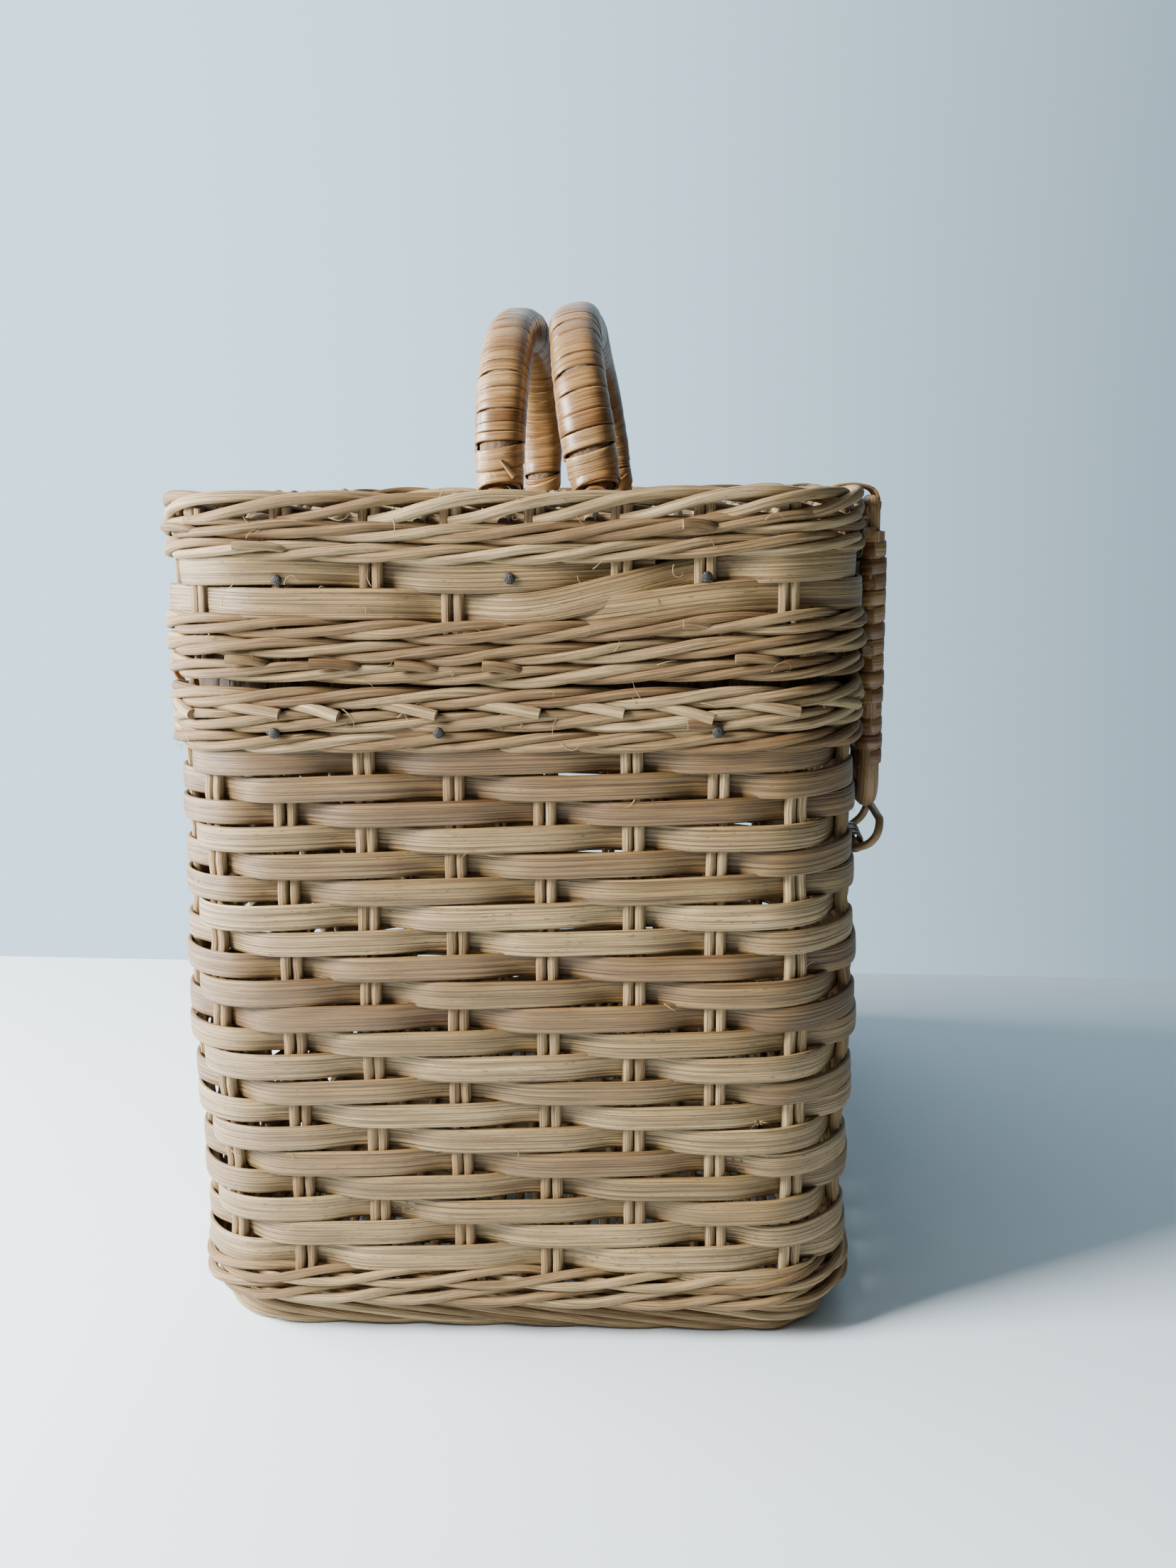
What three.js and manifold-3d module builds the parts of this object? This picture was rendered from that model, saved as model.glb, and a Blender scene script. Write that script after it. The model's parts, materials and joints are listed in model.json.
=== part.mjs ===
// A lidded wicker hamper in split and round cane, in millimetres: +Z up, front (the latch side) towards -Y,
// long side along X. The woven walls, wales and borders are plain closed rings with the true outer size; the
// hoops, nails, hinge lashings, latches and swing handles are their own pieces. The origin is on the ground,
// under the middle of the bounding box.
import * as THREE from "three";
import { mergeVertices } from "three/addons/utils/BufferGeometryUtils.js";
import Module from "manifold-3d";

const wasm = await Module();
wasm.setup();

// ---- driving dimensions ----
const HALF_LENGTH = 135.5; // middle of the stakes, along X
const HALF_WIDTH = 90.5; // middle of the stakes, along Y
const CORNER_RADIUS = 25;
const CORNER_STEPS = 5;
const GAP = 0.3; // clearance between pieces that touch

const WALL_HALF = 2.7; // half the thickness of stakes and flat weavers
const BORDER_OUT = 5.2; // how far the rolled borders stand out from the stakes
const WALE_OUT = 5.0;
const RIM_IN = -2.9; // inner face of the body's wale and border
const LID_IN = -2.0; // inner face of the lid's rings, clear of the body's hoop
const MAT_EDGE = -4.3;

const FOOT_TOP = 9.0;
const LOWER_WALE_TOP = 21;
const BASE_THICKNESS = 4.5;
const WALL_TOP = 167.7;
const UPPER_WALE_TOP = 176.6;
const BODY_TOP = 184.7;
const LID_BOTTOM = 185.3;
const LID_BORDER_TOP = 193.4;
const LID_LOWER_WALE_TOP = 202.6;
const LID_WEAVE_TOP = 217.1;
const LID_UPPER_WALE_TOP = 226.2;
const LID_TOP = 234;
const LID_MAT = [223.2, 228.2];

const HOOP_OUT = -3.4;
const HOOP_IN = -8.8;
const HOOP_WRAP = 0.9; // thickness of the flat cane bound round a hoop
const BODY_HOOP = [164, 190];
const LID_HOOP = [205, 222.6];

const NAIL_SHANK = 0.6;
const NAIL_HEAD = 1.5;
const NAIL_HEAD_DEPTH = 0.8;
const NAIL_HOLE = 0.95;
const NAIL_TIP = -7.0; // how deep a nail reaches, in the same offsets as the rings
const BODY_NAIL_Z = 173.2;
const LID_NAIL_Z = 212.5;

const CANE = 1.4; // thickness of a lashing
const HINGE_X = 80;
const HINGE_AXIS = [99.6, (BODY_TOP + LID_BOTTOM) / 2]; // y, z
const HINGE_PIN = 1.4;

const LATCH_X = 80;
const HASP_AXIS = [-99.9, 230.3];
const HASP_ROD = 1.7;
const HASP_HALF_WIDTH = 13;
const HASP_THICKNESS = 7.4;
const HASP_BOTTOM = 142;
const HASP_TOP = 223;
const KEEPER_AXIS = [-96.7, 131.5];
const KEEPER_ROD = 1.2;
const KEEPER_REACH = 10.6;
const KEEPER_ANGLE = 52; // degrees above level
const KEEPER_HALF_WIDTH = 15.2;

const HANDLE_AXIS_Y = { front: -21.6, back: 7.1 };
const HANDLE_AXIS_Z = LID_MAT[1] + 3.5;
const HANDLE_LEAN = { front: 8.9, back: 1.7 }; // degrees, each towards the other
const HANDLE_CORE = 3.2;
const HANDLE_WRAP = 7.9;
const HANDLE_HALF_SPAN = 75;
const HANDLE_HEIGHT = 55;
const TRUNNION_END = 91;
const HANDLE_BAR_Z = 219.6;
const LASHING_X = 84.5;

// The keepers reach further than the hinges, so the bounding box is centred by moving everything back.
const FRAME_SHIFT_Y = 1.0;

// ---- finishes ----
const finish = (color, roughness, metalness = 0) =>
  new THREE.MeshStandardMaterial({ color, roughness, metalness });
const roundCane = finish(0xc2ab88, 0.62);
const flatCane = finish(0xc4a985, 0.58);
const peelCane = finish(0xc09a66, 0.38);
const rattan = finish(0xb08a5a, 0.6);
const steel = finish(0x4a4a4d, 0.45, 0.9);

// ---- solids from geometries and back ----
function solid(geometry) {
  const plain = geometry.clone();
  plain.deleteAttribute("normal");
  plain.deleteAttribute("uv");
  const merged = mergeVertices(plain, 1e-3);
  return new wasm.Manifold(
    new wasm.Mesh({
      numProp: 3,
      vertProperties: new Float32Array(merged.attributes.position.array),
      triVerts: new Uint32Array(merged.index.array),
    }),
  );
}

function geometryOf(manifold) {
  const mesh = manifold.getMesh();
  const geometry = new THREE.BufferGeometry();
  geometry.setAttribute("position", new THREE.BufferAttribute(mesh.vertProperties, 3));
  geometry.setIndex(new THREE.BufferAttribute(mesh.triVerts, 1));
  geometry.computeVertexNormals();
  return geometry;
}

const subtract = (from, cutters) => cutters.reduce((rest, cutter) => rest.subtract(cutter), from);

function box([x0, x1], [y0, y1], [z0, z1]) {
  const geometry = new THREE.BoxGeometry(x1 - x0, y1 - y0, z1 - z0);
  return solid(geometry.translate((x0 + x1) / 2, (y0 + y1) / 2, (z0 + z1) / 2));
}

// A round bar along X.
function rodX(radius, [x0, x1], [y, z], sides = 12) {
  const geometry = new THREE.CylinderGeometry(radius, radius, x1 - x0, sides);
  return solid(geometry.rotateZ(Math.PI / 2).translate((x0 + x1) / 2, y, z));
}

// ---- rings that follow the basket's rounded rectangle ----
// The stations go once round the middle of the stakes, each with its outward normal.
function stationsRound() {
  const corners = [[1, 1], [-1, 1], [-1, -1], [1, -1]];
  return corners.flatMap(([sx, sy], quarter) =>
    Array.from({ length: CORNER_STEPS + 1 }, (_, step) => {
      const angle = ((quarter + step / CORNER_STEPS) * Math.PI) / 2;
      const normal = [Math.cos(angle), Math.sin(angle)];
      return {
        x: sx * (HALF_LENGTH - CORNER_RADIUS) + CORNER_RADIUS * normal[0],
        y: sy * (HALF_WIDTH - CORNER_RADIUS) + CORNER_RADIUS * normal[1],
        normal,
      };
    }),
  );
}
const stations = stationsRound();

// A closed section of [offset, z] points carried round the stations.
function ring(section) {
  const points = [...section, section[0]].map(([u, z]) => new THREE.Vector2(HALF_LENGTH + u, z));
  const geometry = new THREE.LatheGeometry(points, stations.length);
  const position = geometry.attributes.position;
  for (let i = 0; i < position.count; i++) {
    const at = stations[Math.floor(i / points.length) % stations.length];
    const offset = points[i % points.length].x - HALF_LENGTH;
    const z = points[i % points.length].y;
    position.setXYZ(i, at.x + offset * at.normal[0], at.y + offset * at.normal[1], z);
  }
  const made = solid(geometry);
  return made.volume() < 0 ? ring([...section].reverse()) : made;
}

// A rectangle with its corners cut by chamfer c.
const chamfered = ([u0, u1], [z0, z1], c) => [
  [u0 + c, z0], [u1 - c, z0], [u1, z0 + c], [u1, z1 - c],
  [u1 - c, z1], [u0 + c, z1], [u0, z1 - c], [u0, z0 + c],
];
const bareRing = ([u0, u1], [z0, z1]) => ring([[u0, z0], [u1, z0], [u1, z1], [u0, z1]]);

// A flat plate that fills the outline at an offset.
function plate(offset, [z0, z1]) {
  const outline = stations.map(
    ({ x, y, normal }) => new THREE.Vector2(x + offset * normal[0], y + offset * normal[1]),
  );
  const geometry = new THREE.ExtrudeGeometry(new THREE.Shape(outline), {
    depth: z1 - z0,
    bevelEnabled: false,
  });
  return solid(geometry.translate(0, 0, z0));
}

// A hoop's binding covers its outer, upper and inner faces, and the core fills it from below.
function hoopWrap([z0, z1]) {
  return ring([
    [HOOP_OUT, z0], [HOOP_OUT, z1], [HOOP_IN, z1], [HOOP_IN, z0],
    [HOOP_IN + HOOP_WRAP, z0], [HOOP_IN + HOOP_WRAP, z1 - HOOP_WRAP],
    [HOOP_OUT - HOOP_WRAP, z1 - HOOP_WRAP], [HOOP_OUT - HOOP_WRAP, z0],
  ]);
}
function hoopCore([z0, z1]) {
  const inset = HOOP_WRAP + GAP;
  return bareRing([HOOP_IN + inset, HOOP_OUT - inset], [z0 + inset, z1 - inset]);
}

// ---- lashings: a cane frame round a border with an eye beside it ----
// clear is 0 for the piece, and the clearance for the notch that it lies in.
function lashing({ x, y, z, eye, bore, spread }, clear = 0) {
  const along = [x[0] - clear, x[1] + clear];
  const outside = box(along, [y[0] - clear, y[1] + clear], [z[0] - clear, z[1] + clear]);
  const wall = CANE + clear;
  const inside = box(
    [x[0] - 2, x[1] + 2],
    [y[0] + wall, y[1] - wall],
    [z[0] + wall, z[1] - wall],
  );
  if (!eye) return outside.subtract(inside);
  const knuckle = rodX(bore + CANE + clear, along, eye);
  const frame = outside.add(knuckle).subtract(inside);
  return clear ? frame : frame.subtract(rodX(bore, [x[0] - 2, x[1] + 2], eye));
}

const hingeBore = HINGE_PIN + 0.4;
const hingeLoop = (centre, halfWidth, y, z) => ({
  x: [centre - halfWidth, centre + halfWidth], y, z, eye: HINGE_AXIS, bore: hingeBore,
});
const bodyLoops = {};
const lidLoops = {};
for (const [side, centre] of [["left", -HINGE_X], ["right", HINGE_X]]) {
  for (const [end, shift] of [["outer", Math.sign(centre) * 9], ["inner", Math.sign(centre) * -9]]) {
    bodyLoops[`hinge_body_loop_${side}_${end}`] =
      hingeLoop(centre + shift, 2.5, [87.5, 97.6], [175.9, BODY_TOP - 0.2]);
  }
  lidLoops[`hinge_lid_loop_${side}`] =
    hingeLoop(centre, 4, [88.2, 97.6], [LID_BOTTOM + 0.2, 194.1]);
}

const haspLashings = {};
const handleLashings = {};
for (const [side, centre] of [["left", -LATCH_X], ["right", LATCH_X]]) {
  haspLashings[`hasp_lashing_${side}`] = {
    x: [centre - 5, centre + 5], y: [-96.9, -86.8], z: [225.6, 234.3],
    eye: HASP_AXIS, bore: HASP_ROD + 0.4,
  };
  for (const [face, y] of Object.entries(HANDLE_AXIS_Y)) {
    const x = Math.sign(centre) * LASHING_X;
    handleLashings[`handle_lashing_${face}_${side}`] = {
      x: [x - 3, x + 3], y: [y - 5.2, y + 5.2], z: [214.6, HANDLE_AXIS_Z + 5],
    };
  }
}
const notches = (group) => Object.values(group).map((each) => lashing(each, GAP));

// ---- nails ----
// Each nail: [name, offset of the surface under its head, place on the wall, z, direction it is driven from].
const endNails = (prefix, surface, z, places) =>
  [["left", -1], ["right", 1]].flatMap(([side, sign]) =>
    places.map((y, i) => ({
      name: `${prefix}_nail_${side}_${i + 1}`, surface, z, x: sign * HALF_LENGTH, y, normal: [sign, 0],
    })),
  );
const bodyNails = [
  ...endNails("body", WALE_OUT, BODY_NAIL_Z, [-55, 17, 60]),
  ...[["left", -45], ["right", 45]].map(([side, x]) => ({
    name: `body_nail_front_${side}`, surface: WALE_OUT, z: BODY_NAIL_Z, x, y: -HALF_WIDTH, normal: [0, -1],
  })),
];
const lidNails = endNails("lid", WALL_HALF, LID_NAIL_Z, [-52, -2, 58]);

// Puts a geometry that runs along +Y, from 0 at the stakes, on a nail's line.
function onNailLine(geometry, { x, y, z, normal }) {
  const angle = Math.atan2(normal[1], normal[0]) - Math.PI / 2;
  return geometry.rotateZ(angle).translate(x, y, z);
}
function nail(place) {
  const seat = place.surface + GAP;
  const profile = [
    [0, NAIL_TIP], [NAIL_SHANK, NAIL_TIP + 1.5], [NAIL_SHANK, seat], [NAIL_HEAD, seat],
    [NAIL_HEAD, seat + NAIL_HEAD_DEPTH * 0.6], [0, seat + NAIL_HEAD_DEPTH],
  ].map(([r, along]) => new THREE.Vector2(r, along));
  return onNailLine(new THREE.LatheGeometry(profile, 8), place);
}
function nailHole(place) {
  const deep = NAIL_TIP - GAP;
  const length = place.surface + 2 - deep;
  const geometry = new THREE.CylinderGeometry(NAIL_HOLE, NAIL_HOLE, length, 8);
  return solid(onNailLine(geometry.translate(0, deep + length / 2, 0), place));
}
const bodyHoles = bodyNails.map(nailHole);
const lidHoles = lidNails.map(nailHole);

// ---- bent rods ----
function tube(points, radius, steps, sides, bore = 0) {
  const section = new THREE.Shape().absarc(0, 0, radius, 0, 2 * Math.PI);
  if (bore) section.holes.push(new THREE.Path().absarc(0, 0, bore, 0, 2 * Math.PI, true));
  const path = new THREE.CatmullRomCurve3(points, false, "centripetal");
  return new THREE.ExtrudeGeometry(section, { steps, extrudePath: path, curveSegments: sides / 2 });
}

// The hasp's core is one rod bent to a long ring: its ends meet in the tongue.
function haspCore(centre) {
  const [y, top] = HASP_AXIS;
  const half = 9;
  const bend = 2.5;
  const low = HASP_BOTTOM + 5.5;
  const right = [
    [0.5, low], [half - bend, low], [half - 0.7, low + 0.7], [half, low + bend],
    [half, (low + top) / 2], [half, top - bend], [half - 0.7, top - 0.7], [half - bend, top],
  ];
  const outline = [...right, ...right.map(([x, z]) => [-x, z]).reverse()];
  return tube(outline.map(([x, z]) => new THREE.Vector3(centre + x, y, z)), HASP_ROD, 44, 8);
}

// The tongue is flat cane bound round the core, closed and rounded at its tip.
function haspWrap(centre) {
  const corner = 7;
  const half = HASP_HALF_WIDTH;
  const outline = new THREE.Shape()
    .moveTo(-half, HASP_TOP)
    .lineTo(-half, HASP_BOTTOM + corner)
    .absarc(-half + corner, HASP_BOTTOM + corner, corner, Math.PI, 1.5 * Math.PI)
    .absarc(half - corner, HASP_BOTTOM + corner, corner, 1.5 * Math.PI, 2 * Math.PI)
    .lineTo(half, HASP_TOP);
  const geometry = new THREE.ExtrudeGeometry(outline, {
    depth: HASP_THICKNESS, bevelEnabled: false, curveSegments: 4,
  });
  const y = HASP_AXIS[0];
  geometry.rotateX(Math.PI / 2).translate(centre, y + HASP_THICKNESS / 2, 0);
  const pocket = box([centre - 11.2, centre + 11.2], [y - 2.1, y + 2.1], [HASP_BOTTOM + 3.2, HASP_TOP + 1]);
  return geometryOf(solid(geometry).subtract(pocket));
}

// The keeper is a thin cane bent to a rectangle: its ends meet in the sleeve.
function keeper(centre) {
  const angle = THREE.MathUtils.degToRad(KEEPER_ANGLE);
  const half = KEEPER_HALF_WIDTH;
  const bend = 2;
  const right = [
    [0.5, 0], [half - bend, 0], [half - 0.6, 0.6], [half, bend], [half, KEEPER_REACH / 2],
    [half, KEEPER_REACH - bend], [half - 0.6, KEEPER_REACH - 0.6], [half - bend, KEEPER_REACH],
  ];
  const outline = [...right, ...right.map(([x, out]) => [-x, out]).reverse()];
  const points = outline.map(([x, out]) => new THREE.Vector3(
    centre + x,
    KEEPER_AXIS[0] - out * Math.cos(angle),
    KEEPER_AXIS[1] + out * Math.sin(angle),
  ));
  return tube(points, KEEPER_ROD, 40, 6);
}

function keeperSleeve(centre) {
  const x = [centre - 7, centre + 7];
  const [y, z] = KEEPER_AXIS;
  const seat = -(HALF_WIDTH + WALL_HALF + GAP);
  const block = box(x, [y, seat], [z - 3, z + 3]).add(rodX(3, x, KEEPER_AXIS));
  return geometryOf(block.subtract(rodX(KEEPER_ROD + 0.4, [x[0] - 1, x[1] + 1], KEEPER_AXIS)));
}

// ---- handles ----
// Half of the arch as [x, height above the pivot], from the trunnion to just short of the top.
const HALF_ARCH = [
  [TRUNNION_END, 0], [HANDLE_HALF_SPAN + 8, 0], [HANDLE_HALF_SPAN + 2.5, 1.4], [HANDLE_HALF_SPAN, 6],
  [HANDLE_HALF_SPAN + 0.2, 15], [70, 31.5], [52.5, 46.5], [28, 53.3],
];
const archPoints = [
  ...HALF_ARCH.map(([x, h]) => new THREE.Vector3(-x, 0, h)),
  new THREE.Vector3(0, 0, HANDLE_HEIGHT),
  ...HALF_ARCH.map(([x, h]) => new THREE.Vector3(x, 0, h)).reverse(),
];
const arch = new THREE.CatmullRomCurve3(archPoints, false, "centripetal");
const WRAP_START = 0.095; // share of the core's length below the binding

function handle(side) {
  const sign = side === "front" ? -1 : 1;
  const group = new THREE.Group();
  group.position.set(0, HANDLE_AXIS_Y[side], HANDLE_AXIS_Z);
  group.rotation.x = sign * THREE.MathUtils.degToRad(HANDLE_LEAN[side]);
  const covered = Array.from({ length: 19 }, (_, i) =>
    arch.getPointAt(THREE.MathUtils.lerp(WRAP_START, 1 - WRAP_START, i / 18)));
  group.add(part(`handle_core_${side}`, tube(archPoints, HANDLE_CORE, 40, 8), rattan));
  group.add(part(`handle_wrap_${side}`, tube(covered, HANDLE_WRAP, 18, 12, HANDLE_CORE + 0.8), peelCane));
  return group;
}

// ---- assembly ----
function part(name, geometry, material) {
  const mesh = new THREE.Mesh(geometry, material);
  mesh.name = name;
  return mesh;
}
const basket = new THREE.Group();
const add = (name, shape, material) =>
  basket.add(part(name, shape.isBufferGeometry ? shape : geometryOf(shape), material));

function addBody() {
  const hinge = notches(bodyLoops);
  add("foot_border", ring(chamfered([-12, -4], [0, FOOT_TOP], 1.6)), roundCane);
  add("base_mat", plate(-4.0, [FOOT_TOP + GAP, FOOT_TOP + GAP + BASE_THICKNESS]), flatCane);
  add("lower_wale", ring(chamfered([-3.5, 4.5], [FOOT_TOP + GAP, LOWER_WALE_TOP], 1.6)), roundCane);
  add("wall_weave", bareRing([-WALL_HALF, WALL_HALF], [LOWER_WALE_TOP + GAP, WALL_TOP]), flatCane);
  const wale = ring(chamfered([RIM_IN, WALE_OUT], [WALL_TOP + GAP, UPPER_WALE_TOP], 1.6));
  add("upper_wale", subtract(wale, [...hinge, ...bodyHoles]), roundCane);
  const border = ring(chamfered([RIM_IN, BORDER_OUT], [UPPER_WALE_TOP + GAP, BODY_TOP], 1.6));
  add("body_border", subtract(border, hinge), roundCane);
  add("body_hoop_core", subtract(hoopCore(BODY_HOOP), bodyHoles), rattan);
  add("body_hoop_wrap", subtract(hoopWrap(BODY_HOOP), bodyHoles), flatCane);
}

function addLid() {
  const hinge = notches(lidLoops);
  const hasps = notches(haspLashings);
  const border = ring(chamfered([LID_IN, BORDER_OUT], [LID_BOTTOM, LID_BORDER_TOP], 1.6));
  add("lid_border", subtract(border, hinge), roundCane);
  const wale = ring(chamfered([LID_IN, WALE_OUT], [LID_BORDER_TOP + GAP, LID_LOWER_WALE_TOP], 1.6));
  add("lid_lower_wale", subtract(wale, hinge), roundCane);
  const weave = bareRing([LID_IN, WALL_HALF], [LID_LOWER_WALE_TOP + GAP, LID_WEAVE_TOP]);
  add("lid_weave", subtract(weave, lidHoles), flatCane);
  const topWale = ring(chamfered([LID_IN, WALE_OUT], [LID_WEAVE_TOP + GAP, LID_UPPER_WALE_TOP], 1.6));
  add("lid_upper_wale", subtract(topWale, hasps), roundCane);
  const topBorder = ring(chamfered([-3.9, 4.4], [LID_UPPER_WALE_TOP + GAP, LID_TOP], 1.8));
  add("lid_top_border", subtract(topBorder, hasps), roundCane);
  add("lid_mat", subtract(plate(MAT_EDGE, LID_MAT), notches(handleLashings)), flatCane);
  add("lid_hoop_core", subtract(hoopCore(LID_HOOP), lidHoles), rattan);
  add("lid_hoop_wrap", subtract(hoopWrap(LID_HOOP), lidHoles), flatCane);
}

function addLashings() {
  for (const group of [bodyLoops, lidLoops, haspLashings, handleLashings])
    for (const [name, shape] of Object.entries(group)) add(name, lashing(shape), peelCane);
}

function addHingesAndLatches() {
  for (const [side, sign] of [["left", -1], ["right", 1]]) {
    const hingeX = sign * HINGE_X;
    add(`hinge_pin_${side}`, rodX(HINGE_PIN, [hingeX - 13.5, hingeX + 13.5], HINGE_AXIS, 10), rattan);
    const latchX = sign * LATCH_X;
    add(`hasp_core_${side}`, haspCore(latchX), rattan);
    add(`hasp_wrap_${side}`, haspWrap(latchX), peelCane);
    add(`keeper_${side}`, keeper(latchX), rattan);
    add(`keeper_sleeve_${side}`, keeperSleeve(latchX), peelCane);
  }
}

function addHandles() {
  for (const [side, y] of Object.entries(HANDLE_AXIS_Y)) {
    basket.add(handle(side));
    add(`handle_bar_${side}`, rodX(HANDLE_CORE, [-100, 100], [y, HANDLE_BAR_Z], 10), rattan);
  }
}

addBody();
addLid();
addLashings();
addHingesAndLatches();
addHandles();
for (const place of [...bodyNails, ...lidNails]) add(place.name, nail(place), steel);
basket.position.y = FRAME_SHIFT_Y;

export default basket;
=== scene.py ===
"""Looks of the lidded cane hamper: every strand of its weave, bindings and borders, built round the frame."""
import json
import math

import bpy
import numpy as np
from mathutils import Matrix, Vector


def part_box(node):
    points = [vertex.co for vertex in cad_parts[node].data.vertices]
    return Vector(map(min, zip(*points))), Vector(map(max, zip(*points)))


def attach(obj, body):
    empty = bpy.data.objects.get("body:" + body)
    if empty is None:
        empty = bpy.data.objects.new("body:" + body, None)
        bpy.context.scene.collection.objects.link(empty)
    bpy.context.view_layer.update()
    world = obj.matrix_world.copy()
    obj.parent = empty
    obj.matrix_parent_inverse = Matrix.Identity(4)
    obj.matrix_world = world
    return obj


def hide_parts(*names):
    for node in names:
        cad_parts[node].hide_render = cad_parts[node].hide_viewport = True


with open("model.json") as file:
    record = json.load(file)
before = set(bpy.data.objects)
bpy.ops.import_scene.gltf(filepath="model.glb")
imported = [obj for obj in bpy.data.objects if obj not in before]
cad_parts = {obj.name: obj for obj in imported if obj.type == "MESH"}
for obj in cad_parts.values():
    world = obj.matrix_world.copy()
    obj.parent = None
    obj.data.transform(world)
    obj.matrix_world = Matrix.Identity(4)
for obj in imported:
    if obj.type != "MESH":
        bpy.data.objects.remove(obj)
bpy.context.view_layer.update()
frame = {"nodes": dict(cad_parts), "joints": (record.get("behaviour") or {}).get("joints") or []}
rng = np.random.default_rng(20261117)

# ---------------------------------------------------------------- layout, in millimetres


def box(node):
    """Lowest and highest corner of a CAD node."""
    return [np.array(corner) * 1000 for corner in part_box(node)]


def span(node, axis):
    """Lowest and highest coordinate of a CAD node along one axis."""
    return [corner[axis] for corner in box(node)]


def middle_and_half(node):
    """Middle of a CAD node's box, and half its size."""
    low, high = box(node)
    return (low + high) / 2, (high - low) / 2


X, Y, Z = np.eye(3)
YZX = (Y, Z, X)

WALL_HALF = 2.7  # half the thickness of the woven wall
WALL_X, WALL_Y = span("wall_weave", 0), span("wall_weave", 1)
CENTRE_Y = (WALL_Y[0] + WALL_Y[1]) / 2
HALF_LENGTH = WALL_X[1] - WALL_HALF
HALF_WIDTH = (WALL_Y[1] - WALL_Y[0]) / 2 - WALL_HALF
CORNER = 25.0  # radius of the stake line's corners
LOOP = 4 * (HALF_LENGTH + HALF_WIDTH - 2 * CORNER) + 2 * math.pi * CORNER
STAKES = 40  # pairs; one more than a multiple of three, so that the twill climbs
STAKE, FOOT_STRAND, WALE_STRAND, TOP_STRAND = 1.48, 1.66, 1.43, 1.6  # radii
FIRST_STAKE = -2.35  # shift of the stakes along the outline
CROWDING = 3.4  # how far they draw towards or from the corners
BELLY, BELLY_Z, BELLY_REACH = 1.9, 92, 30  # how far the wall bulges, and where
LID_SHIFT_AT = [-6, -5, -4, -2.2, -1, 1, 3, 6, 9]  # stakes of the near end
LID_SHIFT = [2.2, -1.5, -0.8, 4.0, 0.9, -2.4, -2.2, 1.2, 2.2]  # of the lid's stakes off the body's

Z_WALL = span("wall_weave", 2)
Z_UPPER = span("upper_wale", 2)
Z_BORDER = span("body_border", 2)
Z_LID_BORDER = span("lid_border", 2)
Z_LID_LOWER = span("lid_lower_wale", 2)
Z_LID_WEAVE = span("lid_weave", 2)
Z_LID_UPPER = span("lid_upper_wale", 2)
Z_LID_TOP = span("lid_top_border", 2)

# Outward directions at the ends of each run of a rounded rectangle, walked from the middle of its -a side.
TURNS = np.radians([180, 180, 270, 270, 360, 360, 450, 450, 540, 540])
SIGN_A = np.array([-1, -1, -1, 1, 1, 1, 1, -1, -1, -1])
SIGN_B = np.array([0, -1, -1, -1, -1, 1, 1, 1, 1, 0])


def rounded(at, half_a, half_b, radius, grow=0.0):
    """Points (a, b) at a distance round a rounded rectangle, and the outward directions there."""
    flat_a, flat_b, arc = half_a - radius, half_b - radius, radius * math.pi / 2
    runs = np.cumsum([0, flat_b, arc, 2 * flat_a, arc, 2 * flat_b, arc, 2 * flat_a, arc, flat_b])
    at = np.mod(at, runs[-1])
    turn = np.interp(at, runs, TURNS)
    out = np.stack([np.cos(turn), np.sin(turn)], -1)
    base = np.stack([np.interp(at, runs, SIGN_A * flat_a), np.interp(at, runs, SIGN_B * flat_b)], -1)
    return base + out * (radius + np.asarray(grow, float))[..., None], out


def rim(s, u, z):
    """Points at s along the stake line, u outside it and height z, and the outward directions there."""
    s, u, z = np.broadcast_arrays(np.asarray(s, float), u, z)
    flat, out = rounded(s, HALF_LENGTH, HALF_WIDTH, CORNER, u)
    points = np.stack([flat[..., 0], flat[..., 1] + CENTRE_Y, z], -1)
    return points, np.concatenate([out, np.zeros(out.shape[:-1] + (1,))], -1)


def place(phase):
    """Where a stake, counted in stakes and fractions, stands along the outline."""
    t = (np.asarray(phase, float) + 0.5) / STAKES
    return FIRST_STAKE + LOOP * t + CROWDING * np.sin(8 * np.pi * t)


def lid_place(phase):
    """The lid's stakes stand a few millimetres off the body's."""
    near = np.mod(np.asarray(phase, float) + STAKES / 2, STAKES) - STAKES / 2
    return place(phase) + smooth(LID_SHIFT_AT, LID_SHIFT, near)


def bulge(z):
    """The wall's slight belly."""
    return BELLY * np.exp(-(((np.asarray(z) - BELLY_Z) / BELLY_REACH) ** 2))


def smooth(xs, ys, x):
    """A curve through the knots (xs, ys), read at x."""
    xs, ys = np.asarray(xs, float), np.asarray(ys, float)
    slope = np.gradient(ys, xs)
    x = np.clip(x, xs[0], xs[-1])
    i = np.clip(np.searchsorted(xs, x, side="right") - 1, 0, len(xs) - 2)
    h = xs[i + 1] - xs[i]
    t = (x - xs[i]) / h
    return ((1 + 2 * t) * (1 - t) ** 2 * ys[i] + t * (1 - t) ** 2 * h * slope[i]
            + t * t * (3 - 2 * t) * ys[i + 1] + t * t * (t - 1) * h * slope[i + 1])


def wander(x, size, spacing=1.0):
    """Smooth random drift of about that size along x, different at each call."""
    x = np.asarray(x, float) / spacing
    low = int(np.floor(x.min())) - 1
    values = rng.normal(0, size, int(np.ceil(x.max())) - low + 3)
    i = np.floor(x).astype(int)
    t = x - i
    t = t * t * (3 - 2 * t)
    return values[i - low] * (1 - t) + values[i - low + 1] * t


# ---------------------------------------------------------------- strands to meshes


def oval(width, thick, sides, square=1.0):
    """Cross-section: across, outward. Below 1, square flattens the faces."""
    a = np.arange(sides) * 2 * np.pi / sides
    ca, sa = np.cos(a), np.sin(a)
    return np.stack([np.sign(ca) * np.abs(ca) ** square * width / 2,
                     np.sign(sa) * np.abs(sa) ** square * thick / 2], -1)


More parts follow.
